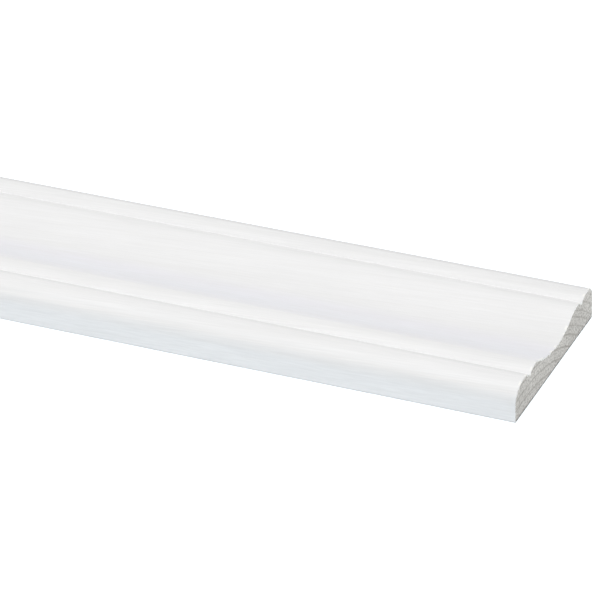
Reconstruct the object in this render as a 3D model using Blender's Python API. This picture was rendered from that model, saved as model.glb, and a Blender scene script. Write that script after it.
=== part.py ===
"""A short length of painted wooden moulding, cut square at both ends.

It is one solid stick of pine with a run moulded face. It lies on its flat back, as a casing or a
chair rail lies before it is fixed. X runs along the stick, Y across its face and Z out of its face.
The origin is in the middle of the flat back. All sizes are in metres.
"""

import math

import bpy

# The stick.
LENGTH = 0.220
WIDTH = 0.070
THICKNESS = 0.012
BACK_EDGE_EASING = 0.0003

# The nose along the front edge: a broad round, a flat crest and a heel that ends in a quirk.
NOSE_ROUND_REACH = 0.0074
NOSE_ROUND_DROP = 0.0059
NOSE_CREST_WIDTH = 0.0016
NOSE_HEEL_WIDTH = 0.0043
FRONT_QUIRK_DEPTH = 0.0019

# The ovolo behind the front quirk. Its far edge is a ridge over the hollow, a little eased.
OVOLO_WIDTH = 0.0052
RIDGE_EASING = 0.0012

# The hollow, a wide cove that rises into a crest at its back.
HOLLOW_DEPTH = 0.0046
HOLLOW_SHORT_SIDE = 0.0188
RIDGE_SLOPE = 0.47
RISE_SLOPE = 0.43
RISE_LENGTH = 0.0138
CREST_WIDTH = 0.0044

# The bead along the back edge: a quirk, a front round, a flat crest and a back round.
BEAD_WIDTH = 0.0098
BEAD_FRONT_WIDTH = 0.0046
BEAD_ROUND_REACH = 0.0034
BEAD_ROUND_DROP = 0.0035
BACK_QUIRK_DEPTH = 0.0016

# How steeply both heels run down into their quirks.
HEEL_SLOPE = 0.72

# How steeply the ovolo and the bead set off out of their quirks, against their mean slope.
# At 3 or less they don't rise over their own tops.
QUIRK_LIFT = 2.8

# How finely the round stretches are cut into flats.
ROUND_STEPS = 10
HOLLOW_STEPS = 12
EASING_STEPS = 3


def quarter_round(start, end, leaves_upright, steps):
    """Points of a quarter of an ellipse from start to end, without start.

    leaves_upright is true where the curve sets off along Z and arrives along Y.
    """
    points = []
    for step in range(1, steps + 1):
        angle = 0.5 * math.pi * step / steps
        lead, lag = math.sin(angle), 1 - math.cos(angle)
        across, up = (lag, lead) if leaves_upright else (lead, lag)
        points.append((start[0] + (end[0] - start[0]) * across, start[1] + (end[1] - start[1]) * up))
    return points


def swept_curve(start, start_slope, end, end_slope, steps):
    """Points of a smooth curve from start to end that has these slopes at its ends, without start."""
    reach = end[0] - start[0]
    points = []
    for step in range(1, steps + 1):
        t = step / steps
        leave = t * (1 - t) ** 2
        arrive = t * t * (t - 1)
        blend = t * t * (3 - 2 * t)
        rise = blend * (end[1] - start[1]) + reach * (leave * start_slope + arrive * end_slope)
        points.append((start[0] + reach * t, start[1] + rise))
    return points


def lifted_round(quirk, top, steps):
    """Points of a round that leaves its quirk steeply and ends level at its top, without the quirk."""
    mean_slope = (top[1] - quirk[1]) / (top[0] - quirk[0])
    return swept_curve(quirk, QUIRK_LIFT * mean_slope, top, 0.0, steps)


def face_outline():
    """The moulded face from the front edge to the back edge, as (across, up) points."""
    nose_crest = (NOSE_ROUND_REACH, THICKNESS)
    nose_heel = (nose_crest[0] + NOSE_CREST_WIDTH, THICKNESS)
    front_quirk = (nose_heel[0] + NOSE_HEEL_WIDTH, THICKNESS - FRONT_QUIRK_DEPTH)
    ovolo_top = (front_quirk[0] + OVOLO_WIDTH, THICKNESS)
    ridge = (ovolo_top[0] + RIDGE_EASING, THICKNESS - 0.5 * RIDGE_SLOPE * RIDGE_EASING)
    hollow_floor = (ovolo_top[0] + HOLLOW_SHORT_SIDE, THICKNESS - HOLLOW_DEPTH)
    back_quirk = (WIDTH - BEAD_WIDTH, THICKNESS - BACK_QUIRK_DEPTH)
    crest = (back_quirk[0] - CREST_WIDTH, THICKNESS)
    rise_middle = (crest[0] - 0.5 * RISE_LENGTH, THICKNESS - 0.5 * HOLLOW_DEPTH)
    bead_top = (back_quirk[0] + BEAD_FRONT_WIDTH, THICKNESS)
    bead_crest = (WIDTH - BEAD_ROUND_REACH, THICKNESS)

    points = [(0.0, THICKNESS - NOSE_ROUND_DROP)]
    points += quarter_round(points[-1], nose_crest, True, ROUND_STEPS)
    points.append(nose_heel)
    points += swept_curve(nose_heel, 0.0, front_quirk, -HEEL_SLOPE, ROUND_STEPS)
    points += lifted_round(front_quirk, ovolo_top, ROUND_STEPS)
    points += swept_curve(ovolo_top, 0.0, ridge, -RIDGE_SLOPE, EASING_STEPS)
    points += swept_curve(ridge, -RIDGE_SLOPE, hollow_floor, 0.0, HOLLOW_STEPS)
    points += swept_curve(hollow_floor, 0.0, rise_middle, RISE_SLOPE, HOLLOW_STEPS)
    points += swept_curve(rise_middle, RISE_SLOPE, crest, 0.0, ROUND_STEPS)
    points += swept_curve(crest, 0.0, back_quirk, -HEEL_SLOPE, ROUND_STEPS)
    points += lifted_round(back_quirk, bead_top, ROUND_STEPS)
    points.append(bead_crest)
    points += quarter_round(bead_crest, (WIDTH, THICKNESS - BEAD_ROUND_DROP), False, ROUND_STEPS)
    return points


def end_outline():
    """The whole end of the stick: the moulded face, closed by its two edges and its flat back."""
    easing = BACK_EDGE_EASING
    back = [(WIDTH, easing), (WIDTH - easing, 0.0), (easing, 0.0), (0.0, easing)]
    return face_outline() + back


def painted_pine():
    """White primer on planed pine."""
    material = bpy.data.materials.new("white_primer")
    material.use_nodes = True
    shader = material.node_tree.nodes["Principled BSDF"]
    shader.inputs["Base Color"].default_value = (0.80, 0.80, 0.80, 1.0)
    shader.inputs["Roughness"].default_value = 0.55
    shader.inputs["Metallic"].default_value = 0.0
    return material


def make_moulding(collection):
    """The stick, as the outline of its end drawn out along X."""
    curve = bpy.data.curves.new("moulding", "CURVE")
    curve.dimensions = "2D"
    curve.fill_mode = "BOTH"
    curve.extrude = 0.5 * LENGTH
    spline = curve.splines.new("POLY")
    outline = end_outline()
    spline.points.add(len(outline) - 1)
    for point, (across, up) in zip(spline.points, outline):
        point.co = (across - 0.5 * WIDTH, up, 0.0, 1.0)
    spline.use_cyclic_u = True
    curve.materials.append(painted_pine())

    moulding = bpy.data.objects.new("moulding", curve)
    moulding.rotation_euler = (0.5 * math.pi, 0.0, 0.5 * math.pi)
    collection.objects.link(moulding)
    return moulding


def main():
    for old in list(bpy.data.objects):
        bpy.data.objects.remove(old)
    collection = bpy.data.collections.new("wooden_moulding")
    bpy.context.scene.collection.children.link(collection)
    make_moulding(collection)


main()
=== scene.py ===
import math
from bisect import bisect_right

import bpy
import numpy as np
from mathutils import Matrix, Vector, noise
from mathutils.geometry import delaunay_2d_cdt


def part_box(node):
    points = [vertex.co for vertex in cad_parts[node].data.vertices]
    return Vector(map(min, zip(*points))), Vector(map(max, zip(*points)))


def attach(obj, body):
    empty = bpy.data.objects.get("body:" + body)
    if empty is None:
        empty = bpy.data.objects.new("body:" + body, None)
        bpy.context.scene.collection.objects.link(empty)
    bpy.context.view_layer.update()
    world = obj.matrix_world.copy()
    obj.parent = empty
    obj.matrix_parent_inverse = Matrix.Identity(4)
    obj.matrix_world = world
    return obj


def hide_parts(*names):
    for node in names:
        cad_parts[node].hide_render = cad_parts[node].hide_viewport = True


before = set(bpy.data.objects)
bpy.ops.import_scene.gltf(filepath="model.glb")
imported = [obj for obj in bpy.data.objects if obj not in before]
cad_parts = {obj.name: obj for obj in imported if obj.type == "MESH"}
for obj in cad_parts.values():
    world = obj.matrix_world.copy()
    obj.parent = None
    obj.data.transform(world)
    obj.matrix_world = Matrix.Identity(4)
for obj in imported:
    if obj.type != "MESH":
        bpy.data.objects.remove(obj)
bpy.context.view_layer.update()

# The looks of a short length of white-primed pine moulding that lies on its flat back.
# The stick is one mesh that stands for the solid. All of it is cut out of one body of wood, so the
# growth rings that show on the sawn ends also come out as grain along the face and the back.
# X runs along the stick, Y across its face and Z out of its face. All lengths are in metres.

# The stick, with the same sizes as its solid.
lowest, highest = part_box("moulding")
HALF_LENGTH = 0.5 * (highest[0] - lowest[0])
WIDTH = highest[1] - lowest[1]
THICKNESS = highest[2] - lowest[2]
BACK_EDGE_EASING = 0.0003
NOSE_ROUND_REACH = 0.0074
NOSE_ROUND_DROP = 0.0059
NOSE_CREST_WIDTH = 0.0016
NOSE_HEEL_WIDTH = 0.0043
FRONT_QUIRK_DEPTH = 0.0019
OVOLO_WIDTH = 0.0052
RIDGE_EASING = 0.0012
HOLLOW_DEPTH = 0.0046
HOLLOW_SHORT_SIDE = 0.0188
RIDGE_SLOPE = 0.47
RISE_SLOPE = 0.43
RISE_LENGTH = 0.0138
CREST_WIDTH = 0.0044
BEAD_WIDTH = 0.0098
BEAD_FRONT_WIDTH = 0.0046
BEAD_ROUND_REACH = 0.0034
BEAD_ROUND_DROP = 0.0035
BACK_QUIRK_DEPTH = 0.0016
HEEL_SLOPE = 0.72
QUIRK_LIFT = 2.8

# How finely the mesh is cut.
CURVE_STEPS = 60
DENSE_PITCH = 0.00002
FACE_PITCH = 0.0004
FACE_TURN = math.radians(9)
BACK_PITCH = 0.0009
STATION_PITCH = 0.00112
END_PITCH = 0.00036
END_MARGIN = 0.00022
END_STATION_INSETS = [0.00012, 0.0004]
UNEVEN_SHARE = 0.2
UNEVEN_SCALE = 4000
UNEVEN_SEED = 1
FLAT_TOLERANCE = 1e-7
SHARP_ANGLE = math.radians(42)

# How far the primer softens the sharp lines of the run face.
PAINT_SOFTENING = 0.00011

# The tree that the stick is cut from: where its heart runs, and how far its yearly rings lie from it.
HEART_ACROSS = -0.0270
HEART_UP = -0.076
HEART_LEAN_ACROSS = 0.05
HEART_LEAN_UP = 0.035
RING_RADII = [
    0.0739, 0.0771, 0.0805, 0.0838, 0.0873, 0.0912, 0.0940, 0.0968, 0.0988, 0.1019, 0.1053, 0.1082, 0.1113,
    0.1141, 0.1172, 0.1200, 0.1231,
]
RING_WANDER = 0.0002
FINE_WANDER_SHARE = 0.25
LATEWOOD_START = 0.45
LATEWOOD_RISE = 0.4
LATEWOOD_FALL = 0.06

# How far the features of each noise run along the stick, and how wide they are across it.
WANDER_FEATURES = (0.14, 0.016)
FINE_WANDER_FEATURES = (0.05, 0.004)
FIBRE_FEATURES = (0.030, 0.0011)
WAVE_FEATURES = (0.045, 0.007)

# The relief of the surfaces.
RAISED_GRAIN = 0.000022
FIBRE_RELIEF = 0.000014
HAND_WAVE = 0.000012
SAW_RELIEF = 0.000018
SAW_PITCH = 0.0013
SAW_SLANT = 0.35
SAW_BOW = 1.2
ROUGH_PITCH = 0.0007
RIM_WIDTH = 0.0004
SOFT_RINGS_SINK = 0.00003
ARRIS_WEAR = 0.00005
WEAR_PITCH = 0.0006
WEAR_SHIFT = 3.0
ARRIS_CHIP = 0.00018
CHIP_PITCH = 0.0021
CHIP_SHIFT = 7.0
CHIP_THRESHOLD = 0.25
CORE_UP = 0.004

# The photograph's camera, from its corners and edges. Pixels are counted on a picture 600 wide.
PICTURE_WIDTH = 600
SENSOR_WIDTH = 36.0
FOCAL_PIXELS = 4254.2
CAMERA_AZIMUTH = math.radians(24.202)
CAMERA_ELEVATION = math.radians(30.231)
CAMERA_ROLL = math.radians(-1.717)
NEAR_CORNER_PIXEL = (515.3, 423.2)
NEAR_CORNER_DEPTH = 1.3239


# The run face.
def quarter_round(start, end, leaves_upright):
    """Points of a quarter of an ellipse from start to end, without start."""
    points = []
    for step in range(1, CURVE_STEPS + 1):
        angle = 0.5 * math.pi * step / CURVE_STEPS
        lead, lag = math.sin(angle), 1 - math.cos(angle)
        across, up = (lag, lead) if leaves_upright else (lead, lag)
        points.append((start[0] + (end[0] - start[0]) * across, start[1] + (end[1] - start[1]) * up))
    return points


def swept_curve(start, start_slope, end, end_slope):
    """Points of a smooth curve from start to end that has these slopes at its ends, without start."""
    reach = end[0] - start[0]
    points = []
    for step in range(1, CURVE_STEPS + 1):
        t = step / CURVE_STEPS
        leave = t * (1 - t) ** 2
        arrive = t * t * (t - 1)
        blend = t * t * (3 - 2 * t)
        rise = blend * (end[1] - start[1]) + reach * (leave * start_slope + arrive * end_slope)
        points.append((start[0] + reach * t, start[1] + rise))
    return points


def lifted_round(quirk, top):
    """Points of a round that leaves its quirk steeply and ends level at its top, without the quirk."""
    mean_slope = (top[1] - quirk[1]) / (top[0] - quirk[0])
    return swept_curve(quirk, QUIRK_LIFT * mean_slope, top, 0.0)


def face_outline():
    """The face with its two upright edges, from one end of the flat back round to the other."""
    nose_crest = (NOSE_ROUND_REACH, THICKNESS)
    nose_heel = (nose_crest[0] + NOSE_CREST_WIDTH, THICKNESS)
    front_quirk = (nose_heel[0] + NOSE_HEEL_WIDTH, THICKNESS - FRONT_QUIRK_DEPTH)
    ovolo_top = (front_quirk[0] + OVOLO_WIDTH, THICKNESS)
    ridge = (ovolo_top[0] + RIDGE_EASING, THICKNESS - 0.5 * RIDGE_SLOPE * RIDGE_EASING)
    hollow_floor = (ovolo_top[0] + HOLLOW_SHORT_SIDE, THICKNESS - HOLLOW_DEPTH)
    back_quirk = (WIDTH - BEAD_WIDTH, THICKNESS - BACK_QUIRK_DEPTH)
    crest = (back_quirk[0] - CREST_WIDTH, THICKNESS)
    rise_middle = (crest[0] - 0.5 * RISE_LENGTH, THICKNESS - 0.5 * HOLLOW_DEPTH)
    bead_top = (back_quirk[0] + BEAD_FRONT_WIDTH, THICKNESS)
    bead_crest = (WIDTH - BEAD_ROUND_REACH, THICKNESS)
    easing = BACK_EDGE_EASING

    points = [(easing, 0.0)]
    points += quarter_round(points[-1], (0.0, easing), False)
    points.append((0.0, THICKNESS - NOSE_ROUND_DROP))
    points += quarter_round(points[-1], nose_crest, True)
    points.append(nose_heel)
    points += swept_curve(nose_heel, 0.0, front_quirk, -HEEL_SLOPE)
    points += lifted_round(front_quirk, ovolo_top)
    points += swept_curve(ovolo_top, 0.0, ridge, -RIDGE_SLOPE)
    points += swept_curve(ridge, -RIDGE_SLOPE, hollow_floor, 0.0)
    points += swept_curve(hollow_floor, 0.0, rise_middle, RISE_SLOPE)
    points += swept_curve(rise_middle, RISE_SLOPE, crest, 0.0)
    points += swept_curve(crest, 0.0, back_quirk, -HEEL_SLOPE)
    points += lifted_round(back_quirk, bead_top)
    points.append(bead_crest)
    points += quarter_round(bead_crest, (WIDTH, THICKNESS - BEAD_ROUND_DROP), False)
    points.append((WIDTH, easing))
    points += quarter_round(points[-1], (WIDTH - easing, 0.0), True)
    return np.array(points)


def travelled(points):
    """How far along the line each point lies."""
    steps = np.linalg.norm(np.diff(points, axis=0), axis=1)
    return np.concatenate([[0.0], np.cumsum(steps)])


def points_at(points, distances, wanted):
    """The points of a line at these distances along it."""
    return np.stack([np.interp(wanted, distances, points[:, axis]) for axis in (0, 1)], axis=1)


def softened_face():
    """The face with its sharp lines filled and rounded by primer, in points closest at the bends."""
    corners = face_outline()
    distances = travelled(corners)
    count = int(distances[-1] / DENSE_PITCH)
    dense = points_at(corners, distances, np.linspace(0, distances[-1], count))
    reach = int(4 * PAINT_SOFTENING / DENSE_PITCH)
    offsets = np.arange(-reach, reach + 1) * DENSE_PITCH
    weights = np.exp(-0.5 * (offsets / PAINT_SOFTENING) ** 2)
    weights /= weights.sum()
    soft = dense.copy()
    for axis in (0, 1):
        soft[reach:-reach, axis] = np.convolve(dense[:, axis], weights, "valid")

    headings = np.unwrap(np.arctan2(*np.diff(soft, axis=0).T[::-1]))
    turns = np.concatenate([[0.0], np.abs(np.diff(headings)), [0.0]])
    lengths = np.concatenate([[0.0], np.linalg.norm(np.diff(soft, axis=0), axis=1)])
    crowding = np.cumsum(lengths / FACE_PITCH + turns / FACE_TURN)
    wanted = np.linspace(0, crowding[-1], int(crowding[-1]) + 1)
    face = points_at(soft, crowding, wanted)
    face[:, 0] -= 0.5 * WIDTH
    return face


def outward(points):
    """The direction out of the wood at each point of the face."""
    along = np.gradient(points, axis=0)
    along /= np.linalg.norm(along, axis=1)[:, None]
    return np.stack([-along[:, 1], along[:, 0]], axis=1)


# The wood.
def drawn_noise(x, across, up, run, pitch):
    """Noise that is drawn out along the stick: features run long and pitch wide."""
    return noise.noise(Vector((x / run, across / pitch, up / pitch)))


def wood_at(x, across, up):
    """Where a point lies in the tree: its distance from the heart, and its place round it."""
    side = across - HEART_ACROSS - HEART_LEAN_ACROSS * (x - HALF_LENGTH)
    rise = up - HEART_UP - HEART_LEAN_UP * (x - HALF_LENGTH)
    radius = math.hypot(side, rise)
    radius += RING_WANDER * drawn_noise(x, across, up, *WANDER_FEATURES)
    radius += FINE_WANDER_SHARE * RING_WANDER * drawn_noise(x, across, up, *FINE_WANDER_FEATURES)
    return radius, radius * math.atan2(side, rise)


def ring_number(radius):
    """How many of the listed rings lie inside this radius, with the share of the one it is in."""
    ring = min(max(bisect_right(RING_RADII, radius), 1), len(RING_RADII) - 1)
    inner, outer = RING_RADII[ring - 1], RING_RADII[ring]
    return ring + (radius - inner) / (outer - inner)


def latewood(number):
    """How much of the dense, late part of a ring a point is in, from 0 to 1."""
    part = number - math.floor(number)
    rising = min(max((part - LATEWOOD_START) / LATEWOOD_RISE, 0.0), 1.0)
    falling = min(max((1.0 - part) / LATEWOOD_FALL, 0.0), 1.0)
    return rising * rising * (3 - 2 * rising) * falling


def face_relief(x, across, up):
    """How far the planed surface stands proud under its primer."""
    radius, _ = wood_at(x, across, up)
    grain = RAISED_GRAIN * latewood(ring_number(radius))
    fibres = FIBRE_RELIEF * drawn_noise(x, across, up, *FIBRE_FEATURES)
    waves = HAND_WAVE * drawn_noise(x, across, up, *WAVE_FEATURES)
    return grain + fibres + waves


def end_relief(side, across, up, rim):
    """How far a sawn end lies back at a point: the soft wood of its rings and the saw's marks."""
    radius, _ = wood_at(side * HALF_LENGTH, across, up)
    soft_wood = SOFT_RINGS_SINK * (1 - latewood(ring_number(radius)))
    sweep = across + SAW_SLANT * up + SAW_BOW * (up * up + across * across)
    saw = SAW_RELIEF * (1 + math.sin(2 * math.pi * sweep / SAW_PITCH))
    rough = SAW_RELIEF * (1 + noise.noise(Vector((across / ROUGH_PITCH, up / ROUGH_PITCH, side))))
    return min(rim / RIM_WIDTH, 1.0) * (soft_wood + saw + rough)


def worn_arris(side, point):
    """A point of a sawn end's outline, drawn in towards the stick's core where the edge has crumbled."""
    fine = noise.noise(Vector((point[0] / WEAR_PITCH, point[1] / WEAR_PITCH, WEAR_SHIFT * side)))
    wide = noise.noise(Vector((point[0] / CHIP_PITCH, point[1] / CHIP_PITCH, CHIP_SHIFT * side)))
    loss = ARRIS_WEAR * (1 + fine) + ARRIS_CHIP * max(wide - CHIP_THRESHOLD, 0.0)
    reach = 0.5 * WIDTH - CORE_UP
    inwards = np.array([min(max(point[0], -reach), reach), CORE_UP]) - point
    return point + loss * inwards / np.linalg.norm(inwards)


# The mesh.
def stations():
    """The places along the stick where the mesh has a ring of points, closer near the ends."""
    count = int(2 * HALF_LENGTH / STATION_PITCH)
    inner = list(np.linspace(-HALF_LENGTH, HALF_LENGTH, count + 1)[1:-1])
    near = [HALF_LENGTH - inset for inset in END_STATION_INSETS]
    return [-HALF_LENGTH] + [-x for x in near] + inner + near[::-1] + [HALF_LENGTH]


def inside(points, outline):
    """Whether each point lies inside the closed outline."""
    crossings = np.zeros(len(points), int)
    for start, end in zip(outline, np.roll(outline, -1, axis=0)):
        low, high = min(start[1], end[1]), max(start[1], end[1])
        spans = (points[:, 1] >= low) & (points[:, 1] < high)
        if high > low:
            where = start[0] + (points[:, 1] - start[1]) * (end[0] - start[0]) / (end[1] - start[1])
            crossings += spans & (where > points[:, 0])
    return crossings % 2 == 1


def nearest(points, targets):
    """How far each point is from the nearest target."""
    return np.array([np.sqrt(((targets - point) ** 2).sum(axis=1).min()) for point in points])


def end_fill(outline):
    """Points inside an end, staggered and a little uneven, clear of its outline."""
    # Vector noise is seeded by the clock unless a seed is set.
    noise.seed_set(UNEVEN_SEED)
    rows = []
    row_pitch = END_PITCH * math.sqrt(0.75)
    for row in range(int(THICKNESS / row_pitch) + 1):
        shift = 0.5 * END_PITCH * (row % 2)
        for column in range(int(WIDTH / END_PITCH) + 1):
            across = -0.5 * WIDTH + shift + column * END_PITCH
            up = row * row_pitch
            uneven = noise.noise_vector(Vector((across * UNEVEN_SCALE, up * UNEVEN_SCALE, 0.5)))
            aside = UNEVEN_SHARE * END_PITCH * uneven.x
            above = UNEVEN_SHARE * END_PITCH * uneven.y
            rows.append((across + aside, up + above))
    points = np.array(rows)
    points = points[inside(points, outline)]
    return points[nearest(points, outline) > END_MARGIN]


def closed_end(outline, side):
    """An end's inner points, and its triangles over the outline's points and then the inner ones."""
    fill = end_fill(outline)
    flat = [Vector(point) for point in np.concatenate([outline, fill])]
    count = len(outline)
    edges = [(index, (index + 1) % count) for index in range(count)]
    made = delaunay_2d_cdt(flat, edges, [], 1, FLAT_TOLERANCE)
    source = [ids[0] for ids in made[3]]
    triangles = [[source[corner] for corner in triangle] for triangle in made[2]]
    if side < 0:
        triangles = [triangle[::-1] for triangle in triangles]
    return fill, triangles


def stick_mesh():
    """The whole stick as one closed mesh."""
    face = softened_face()
    normals = outward(face)
    back_count = int(WIDTH / BACK_PITCH)
    back_line = np.linspace(face[-1], face[0], back_count + 2)[1:-1]
    loop = np.concatenate([face, back_line])
    down = np.tile([0.0, -1.0], (len(back_line), 1))
    loop_normals = np.concatenate([normals, down])
    around = len(loop)

    points = []
    rims = []
    places = stations()
    for x in places:
        for index, (point, normal) in enumerate(zip(loop, loop_normals)):
            placed = point
            if abs(x) == HALF_LENGTH:
                placed = worn_arris(math.copysign(1, x), point)
            elif index < len(face):
                placed = point + face_relief(x, *point) * normal
            points.append((x, placed[0], max(placed[1], 0.0)))
            rims.append(0.0)

    faces = []
    slots = []
    for ring in range(len(places) - 1):
        for index in range(around):
            following = (index + 1) % around
            low, high = ring * around, (ring + 1) * around
            faces.append((low + index, low + following, high + following, high + index))
            slots.append(0 if index < len(face) - 1 else 2)

    for side, first in ((-1, 0), (1, (len(places) - 1) * around)):
        outline = np.array(points[first:first + around])[:, 1:]
        fill, triangles = closed_end(outline, side)
        rim = nearest(fill, outline[:len(face)])
        start = len(points)
        for (across, up), distance in zip(fill, rim):
            x = side * (HALF_LENGTH - end_relief(side, across, up, distance))
            points.append((x, across, up))
            rims.append(distance)
        for index in range(len(face), around):
            rims[first + index] = nearest(outline[index:index + 1], outline[:len(face)])[0]
        for triangle in triangles:
            faces.append([first + c if c < around else start + c - around for c in triangle])
            slots.append(1)
    return points, faces, slots, rims


def make_stick(materials):
    """The stick as one piece, with what its materials need to know of the wood at each point."""
    points, faces, slots, rims = stick_mesh()
    mesh = bpy.data.meshes.new("primed_moulding")
    mesh.from_pydata(points, [], faces)
    for material in materials:
        mesh.materials.append(material)
    mesh.polygons.foreach_set("material_index", slots)
    mesh.polygons.foreach_set("use_smooth", [True] * len(faces))

    wood = [wood_at(*point) for point in points]
    tree = mesh.attributes.new("tree", "FLOAT_VECTOR", "POINT")
    tree.data.foreach_set("vector", [v for (r, arc), p in zip(wood, points) for v in (r, arc, p[0])])
    rings = mesh.attributes.new("rings", "FLOAT", "POINT")
    rings.data.foreach_set("value", [ring_number(radius) for radius, _ in wood])
    rim = mesh.attributes.new("rim", "FLOAT", "POINT")
    rim.data.foreach_set("value", rims)
    mesh.set_sharp_from_angle(angle=SHARP_ANGLE)
    mesh.validate()

    stick = bpy.data.objects.new("primed_moulding", mesh)
    bpy.context.scene.collection.objects.link(stick)
    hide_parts("moulding")
    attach(stick, "root")


# The materials.
class Nodes:
    """Small helpers to write a material's nodes in few lines."""

    def __init__(self, name):
        self.material = bpy.data.materials.new(name)
        self.material.use_nodes = True
        self.tree = self.material.node_tree
        self.shader = self.tree.nodes["Principled BSDF"]

    def node(self, kind, **settings):
        made = self.tree.nodes.new(kind)
        for key, value in settings.items():
            setattr(made, key, value)
        return made

    def link(self, source, target):
        self.tree.links.new(source, target)

    def attribute(self, name, output="Fac"):
        return self.node("ShaderNodeAttribute", attribute_name=name).outputs[output]

    def math(self, operation, first, second=None):
        made = self.node("ShaderNodeMath", operation=operation)
        for socket, value in zip(made.inputs, (first, second)):
            if isinstance(value, (int, float)):
                socket.default_value = value
            elif value is not None:
                self.link(value, socket)
        return made.outputs[0]

    def noise(self, place, scale, detail=2.0, roughness=0.5):
        """Noise over a place, with a scale along each of its axes."""
        mapping = self.node("ShaderNodeMapping")
        self.link(place, mapping.inputs["Vector"])
        mapping.inputs["Scale"].default_value = scale
        made = self.node("ShaderNodeTexNoise")
        made.inputs["Scale"].default_value = 1.0
        made.inputs["Detail"].default_value = detail
        made.inputs["Roughness"].default_value = roughness
        self.link(mapping.outputs["Vector"], made.inputs["Vector"])
        return made.outputs["Fac"]

    def ramp(self, value, stops):
        """A colour for each value; stops are (place, colour) pairs."""
        made = self.node("ShaderNodeValToRGB")
        while len(made.color_ramp.elements) < len(stops):
            made.color_ramp.elements.new(1.0)
        for element, (place, colour) in zip(made.color_ramp.elements, stops):
            element.position = place
            element.color = (*colour, 1.0) if isinstance(colour, tuple) else (colour, colour, colour, 1.0)
        self.link(value, made.inputs["Fac"])
        return made.outputs["Color"]

    def mix(self, share, first, second, blend="MIX"):
        made = self.node("ShaderNodeMix", data_type="RGBA", blend_type=blend)
        for socket, value in zip((made.inputs[0], made.inputs[6], made.inputs[7]), (share, first, second)):
            if isinstance(value, (int, float)):
                socket.default_value = value
            elif isinstance(value, tuple):
                socket.default_value = (*value, 1.0)
            else:
                self.link(value, socket)
        return made.outputs[2]

    def bump(self, height, distance, strength=1.0, under=None):
        made = self.node("ShaderNodeBump")
        made.inputs["Distance"].default_value = distance
        made.inputs["Strength"].default_value = strength
        self.link(height, made.inputs["Height"])
        if under is not None:
            self.link(under, made.inputs["Normal"])
        return made.outputs["Normal"]


# How dark the wood is across one yearly ring, under the primer and on the back, and on the sawn ends.
LATEWOOD_STOPS = [(0.0, 0.0), (0.42, 0.05), (0.80, 0.75), (0.95, 1.0), (1.0, 0.0)]
END_LATEWOOD_STOPS = [(0.0, 0.0), (0.72, 0.05), (0.84, 0.75), (0.89, 1.0), (0.94, 0.75), (1.0, 0.0)]

# The primer's colour, with light and shade painted into it across the face from front to back: painted
# light at the foot of the nose, on the flat crests and low on the nose round; painted shade on the heel of
# the nose; a painted highlight at both quirks; a bluish painted shade next to the ridge, which fades out
# across the hollow's floor; painted shade over the back round; and a painted shadow along the lower arrises.
PRIMER = (0.815, 0.822, 0.829)
PAINTED_LIGHT_PRIMER = (0.833, 0.840, 0.847)
HEEL_PAINTED_SHADE = (0.776, 0.783, 0.790)
QUIRK_PAINTED_HIGHLIGHT = (0.862, 0.869, 0.876)
ROUND_PAINTED_LIGHT = (0.846, 0.846, 0.845)
EDGE_PAINTED_BLUISH_SHADE = (0.831, 0.840, 0.876)
RIDGE_PAINTED_BLUISH_SHADE = (0.811, 0.826, 0.873)
HOLLOW_PAINTED_BLUISH_SHADE = (0.797, 0.801, 0.844)
BACK_ROUND_PAINTED_SHADE = (0.715, 0.722, 0.729)
# A painted shadow along the lower arrises, where the stick lies on the floor.
CONTACT_SHADOW_HEIGHT = 0.0008
PAINTED_CONTACT_SHADOW_TINT = (0.46, 0.44, 0.43)
GRAIN_TINT = (0.70, 0.69, 0.67)
STREAK_TINT = (0.68, 0.685, 0.69)
FIBRE_TINT = (0.72, 0.725, 0.73)
FLECK_TINT = (0.93, 0.93, 0.90)
FLECK_REACH = 0.0009

# The sawn ends. Ring strength depends on the distance from the heart, which the scale brings near 0 to 1.
RADIUS_SCALE = 8.0
RING_STRENGTH_STOPS = [(0.78, 0.60), (0.81, 0.36), (0.84, 0.14)]
RING_UNEVENNESS = 0.12
RING_TINT = (0.33, 0.30, 0.265)
PORE_TINT = (0.27, 0.25, 0.22)
RAY_TINT = (0.80, 0.78, 0.73)
# A painted shadow along the foot of each sawn end, where it meets the floor.
PAINTED_FOOT_SHADOW_TINT = (0.15, 0.14, 0.13)
FOOT_SHADOW_RAGGEDNESS = 0.0005
FOOT_SHADOW_SHARPNESS = 3000.0
RIM_TINT = (0.92, 0.92, 0.89)
RIM_THRESHOLD = 0.40
RIM_REACH = 0.0034
RIM_SHARPNESS = 5000.0


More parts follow.
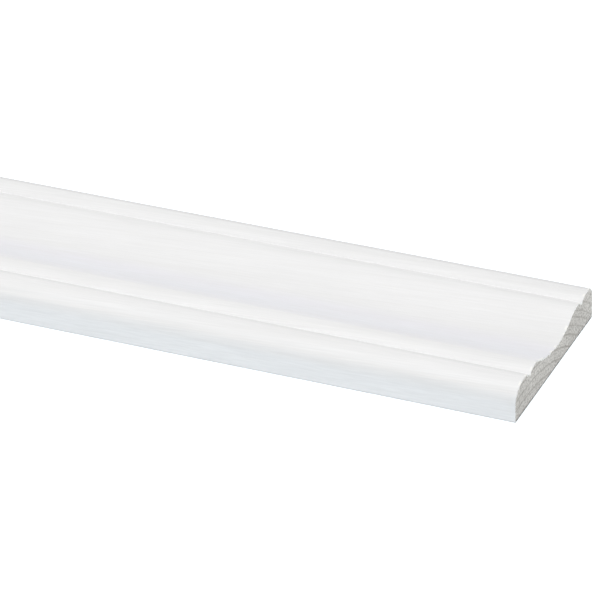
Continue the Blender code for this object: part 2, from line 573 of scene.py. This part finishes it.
def white_primer():
    """Sprayed primer over planed pine: matt white, with the grain just showing through."""
    n = Nodes("white_primer")
    tree = n.attribute("tree", "Vector")
    place = n.node("ShaderNodeTexCoord").outputs["Object"]
    split = n.node("ShaderNodeSeparateXYZ")
    n.link(place, split.inputs["Vector"])
    late = n.ramp(n.math("FRACT", n.attribute("rings")), LATEWOOD_STOPS)
    fibres = n.noise(tree, (2600, 2600, 45), 3.0, 0.6)
    clouds = n.noise(tree, (160, 160, 30), 2.0)
    streaks = n.noise(tree, (1300, 1300, 45), 3.0, 0.6)
    spray = n.noise(tree, (2300, 2300, 2300), 3.0, 0.55)
    flecks = n.noise(place, (500, 420, 420), 2.0)

    across = n.math("DIVIDE", n.math("ADD", split.outputs["Y"], 0.5 * WIDTH), WIDTH)
    quirk = NOSE_ROUND_REACH + NOSE_CREST_WIDTH + NOSE_HEEL_WIDTH
    ridge = quirk + OVOLO_WIDTH + RIDGE_EASING
    back_quirk = WIDTH - BEAD_WIDTH
    back_round = WIDTH - BEAD_ROUND_REACH
    # Painted light, painted highlights and painted shade across the face, as primer tints by distance from
    # the front.
    painted_light_tints = [
        (0.0001, PAINTED_LIGHT_PRIMER), (0.0004, PRIMER), (0.0010, PRIMER), (0.0016, ROUND_PAINTED_LIGHT),
        (0.0028, PRIMER), (0.0048, PRIMER), (0.0074, PAINTED_LIGHT_PRIMER),
        (quirk - 0.0045, PAINTED_LIGHT_PRIMER), (quirk - 0.0036, HEEL_PAINTED_SHADE), (quirk - 0.0027, HEEL_PAINTED_SHADE),
        (quirk - 0.0010, PRIMER),
        (quirk - 0.0002, QUIRK_PAINTED_HIGHLIGHT), (quirk + 0.0008, QUIRK_PAINTED_HIGHLIGHT), (quirk + 0.0018, PRIMER),
        (ridge - 0.0014, PRIMER), (ridge - 0.0004, EDGE_PAINTED_BLUISH_SHADE), (ridge + 0.0025, EDGE_PAINTED_BLUISH_SHADE),
        (ridge + 0.0055, RIDGE_PAINTED_BLUISH_SHADE), (ridge + 0.0080, RIDGE_PAINTED_BLUISH_SHADE),
        (ridge + 0.0140, HOLLOW_PAINTED_BLUISH_SHADE), (ridge + 0.0195, PRIMER),
        (back_quirk - 0.0033, PRIMER), (back_quirk - 0.0026, QUIRK_PAINTED_HIGHLIGHT), (back_quirk, QUIRK_PAINTED_HIGHLIGHT),
        (back_quirk + 0.0003, PAINTED_LIGHT_PRIMER), (back_quirk + 0.0016, PRIMER),
        (back_quirk + 0.0022, PRIMER), (back_quirk + 0.0034, PAINTED_LIGHT_PRIMER),
        (back_round - 0.0007, PAINTED_LIGHT_PRIMER), (back_round, BACK_ROUND_PAINTED_SHADE),
    ]
    primer_with_painted_light = n.ramp(across, [(distance / WIDTH, colour) for distance, colour in painted_light_tints])
    # Painted shadow along the lower arrises, darkest where the stick lies on the floor.
    above_contact_shadow = n.math("DIVIDE", split.outputs["Z"], CONTACT_SHADOW_HEIGHT)
    painted_foot_shadow = n.ramp(above_contact_shadow, [(0.0, PAINTED_CONTACT_SHADOW_TINT), (0.6, 0.93), (1.0, 1.0)])
    coat_with_painted_light = n.mix(1.0, primer_with_painted_light, painted_foot_shadow, "MULTIPLY")
    white = n.mix(1.0, coat_with_painted_light, n.ramp(clouds, [(0.3, 0.972), (0.7, 1.0)]), "MULTIPLY")
    grained = n.mix(n.math("MULTIPLY", late, 0.08), white, GRAIN_TINT)
    thinness = n.ramp(across, [(0.02, 0.62), (0.08, 0.16), (0.86, 0.16), (0.90, 0.42)])
    streak = n.math("MULTIPLY", n.ramp(streaks, [(0.42, 0.0), (0.68, 0.50)]), thinness)
    streaked = n.mix(streak, grained, STREAK_TINT)
    fibred = n.mix(n.ramp(fibres, [(0.38, 0.0), (0.62, 0.36)]), streaked, FIBRE_TINT)
    to_end = n.math("SUBTRACT", HALF_LENGTH, n.math("ABSOLUTE", split.outputs["X"]))
    closeness = n.ramp(n.math("DIVIDE", to_end, FLECK_REACH), [(0.3, 1.0), (1.0, 0.0)])
    flecked = n.math("MULTIPLY", closeness, n.ramp(flecks, [(0.54, 0.0), (0.62, 1.0)]))
    n.link(n.mix(flecked, fibred, FLECK_TINT), n.shader.inputs["Base Color"])
    roughness = n.ramp(spray, [(0.3, 0.46), (0.7, 0.62)])
    n.link(roughness, n.shader.inputs["Roughness"])
    fibre_bump = n.bump(fibres, 0.00003, 0.8)
    spray_bump = n.bump(spray, 0.00002, 0.8, fibre_bump)
    n.link(spray_bump, n.shader.inputs["Normal"])
    return n.material


def sawn_end_grain():
    """The bare sawn end: pale soft wood between darker rings, with a rim of primer at the face."""
    n = Nodes("sawn_end_grain")
    tree = n.attribute("tree", "Vector")
    place = n.node("ShaderNodeTexCoord").outputs["Object"]
    split = n.node("ShaderNodeSeparateXYZ")
    n.link(place, split.inputs["Vector"])
    uneven = n.math("MULTIPLY", n.math("SUBTRACT", n.noise(tree, (700, 700, 700), 2.0), 0.5), RING_UNEVENNESS)
    late = n.ramp(n.math("FRACT", n.math("ADD", n.attribute("rings"), uneven)), END_LATEWOOD_STOPS)
    pores = n.noise(tree, (1500, 850, 200), 4.0, 0.8)
    rays = n.noise(tree, (260, 2400, 50), 2.0)
    stains = n.noise(tree, (130, 130, 130), 3.0)
    edge = n.noise(tree, (800, 800, 800), 4.0, 0.65)

    soft_wood = n.ramp(stains, [(0.3, (0.645, 0.613, 0.572)), (0.7, (0.760, 0.726, 0.680))])
    from_heart = n.node("ShaderNodeSeparateXYZ")
    n.link(tree, from_heart.inputs["Vector"])
    strength = n.ramp(n.math("MULTIPLY", from_heart.outputs["X"], RADIUS_SCALE), RING_STRENGTH_STOPS)
    rings = n.mix(n.math("MULTIPLY", late, strength), soft_wood, RING_TINT)
    pored = n.mix(n.ramp(pores, [(0.36, 0.92), (0.54, 0.0)]), rings, PORE_TINT)
    rayed = n.mix(n.ramp(rays, [(0.55, 0.0), (0.75, 0.30)]), pored, RAY_TINT)
    # Painted shadow along the foot of the end, with a ragged top.
    ragged_up = n.math("ADD", split.outputs["Z"], n.math("MULTIPLY", edge, -FOOT_SHADOW_RAGGEDNESS))
    foot_shadow_share = n.ramp(n.math("MULTIPLY", ragged_up, FOOT_SHADOW_SHARPNESS), [(0.0, 0.92), (0.6, 0.0)])
    painted_foot_shadow = n.mix(foot_shadow_share, rayed, PAINTED_FOOT_SHADOW_TINT)
    reach = n.math("MULTIPLY", n.math("SUBTRACT", edge, RIM_THRESHOLD), RIM_REACH)
    covered = n.math("SUBTRACT", reach, n.attribute("rim"))
    primed = n.ramp(n.math("MULTIPLY", covered, RIM_SHARPNESS), [(0.0, 0.0), (0.6, 1.0)])
    n.link(n.mix(primed, painted_foot_shadow, RIM_TINT), n.shader.inputs["Base Color"])
    n.shader.inputs["Roughness"].default_value = 0.85
    n.link(n.bump(pores, 0.00005, 0.9), n.shader.inputs["Normal"])
    return n.material


def planed_back():
    """The bare planed back: plain pine, dusted with primer along its two edges."""
    n = Nodes("planed_back")
    tree = n.attribute("tree", "Vector")
    late = n.ramp(n.math("FRACT", n.attribute("rings")), LATEWOOD_STOPS)
    fibres = n.noise(tree, (2200, 2200, 35), 4.0, 0.6)
    clouds = n.noise(tree, (120, 120, 14), 3.0)
    place = n.node("ShaderNodeTexCoord").outputs["Object"]
    spray = n.noise(place, (60, 420, 420), 4.0, 0.7)
    split = n.node("ShaderNodeSeparateXYZ")
    n.link(place, split.inputs["Vector"])

    pine = n.ramp(clouds, [(0.3, (0.64, 0.56, 0.44)), (0.7, (0.72, 0.64, 0.52))])
    rings = n.mix(n.math("MULTIPLY", late, 0.6), pine, (0.52, 0.41, 0.29))
    fibred = n.mix(n.math("MULTIPLY", fibres, 0.35), rings, (0.55, 0.47, 0.36))
    from_middle = n.math("DIVIDE", n.math("ABSOLUTE", split.outputs["Y"]), 0.5 * WIDTH)
    dusting = n.math("ADD", from_middle, n.math("MULTIPLY", n.math("SUBTRACT", spray, 0.5), 0.5))
    primed = n.ramp(dusting, [(0.86, 0.0), (1.0, 0.9)])
    n.link(n.mix(primed, fibred, (0.78, 0.78, 0.78)), n.shader.inputs["Base Color"])
    n.shader.inputs["Roughness"].default_value = 0.7
    n.link(n.bump(fibres, 0.00003, 0.8), n.shader.inputs["Normal"])
    return n.material


# The room, the light and the camera.
SOFTBOX_SIZE = 0.8
SOFTBOX_TINT = (1.0, 0.986, 0.974)


def make_floor():
    """A wide pale floor, a hair below the stick's back."""
    mesh = bpy.data.meshes.new("floor")
    reach = 3.0
    drop = 0.00005
    corners = [(-reach, -reach, -drop), (reach, -reach, -drop), (reach, reach, -drop), (-reach, reach, -drop)]
    mesh.from_pydata(corners, [], [(0, 1, 2, 3)])
    material = bpy.data.materials.new("pale_floor")
    material.use_nodes = True
    shader = material.node_tree.nodes["Principled BSDF"]
    shader.inputs["Base Color"].default_value = (0.50, 0.50, 0.50, 1.0)
    shader.inputs["Roughness"].default_value = 0.9
    shader.inputs["Specular IOR Level"].default_value = 0.0
    shader.inputs["Emission Color"].default_value = (0.87, 0.945, 1.0, 1.0)
    shader.inputs["Emission Strength"].default_value = 0.905
    mesh.materials.append(material)
    floor = bpy.data.objects.new("floor", mesh)
    bpy.context.scene.collection.objects.link(floor)


def add_softbox(name, watts, location):
    """A square soft lamp that faces the stick."""
    data = bpy.data.lights.new(name, "AREA")
    data.shape = "SQUARE"
    data.size = SOFTBOX_SIZE
    data.energy = watts
    data.color = SOFTBOX_TINT
    lamp = bpy.data.objects.new(name, data)
    lamp.location = location
    lamp.rotation_euler = (-lamp.location).to_track_quat("-Z", "Y").to_euler()
    bpy.context.scene.collection.objects.link(lamp)


def light_room():
    """Even light from all round, with one soft lamp overhead and one in front."""
    world = bpy.data.worlds.new("studio")
    world.use_nodes = True
    background = world.node_tree.nodes["Background"]
    background.inputs["Color"].default_value = (1.0, 1.0, 1.0, 1.0)
    background.inputs["Strength"].default_value = 0.36
    bpy.context.scene.world = world
    add_softbox("overhead_softbox", 21.7, (-0.18, 0.0, 1.8))
    add_softbox("front_softbox", 4.2, (0.0, -0.9, 1.559))


def aim_camera():
    """The photograph's camera: it looks down across the stick, and the near corner sits on its pixel."""
    right = Vector((math.cos(CAMERA_AZIMUTH), math.sin(CAMERA_AZIMUTH), 0.0))
    level = math.cos(CAMERA_ELEVATION)
    forward = Vector((-right.y * level, right.x * level, -math.sin(CAMERA_ELEVATION)))
    up = right.cross(forward)
    turned_right = right * math.cos(CAMERA_ROLL) + up * math.sin(CAMERA_ROLL)
    turned_up = up * math.cos(CAMERA_ROLL) - right * math.sin(CAMERA_ROLL)

    middle = 0.5 * PICTURE_WIDTH
    metres_a_pixel = NEAR_CORNER_DEPTH / FOCAL_PIXELS
    aside = (NEAR_CORNER_PIXEL[0] - middle) * metres_a_pixel
    above = (middle - NEAR_CORNER_PIXEL[1]) * metres_a_pixel
    corner = Vector((HALF_LENGTH, -0.5 * WIDTH, 0.0))
    place = corner - aside * turned_right - above * turned_up - NEAR_CORNER_DEPTH * forward

    data = bpy.data.cameras.new("camera")
    data.sensor_width = SENSOR_WIDTH
    data.lens = FOCAL_PIXELS * SENSOR_WIDTH / PICTURE_WIDTH
    camera = bpy.data.objects.new("camera", data)
    turn = Matrix((turned_right, turned_up, -forward)).transposed()
    camera.matrix_world = Matrix.Translation(place) @ turn.to_4x4()
    bpy.context.scene.collection.objects.link(camera)
    bpy.context.scene.camera = camera


make_stick([white_primer(), sawn_end_grain(), planed_back()])
make_floor()
light_room()
aim_camera()
bpy.context.scene.view_settings.view_transform = "Standard"
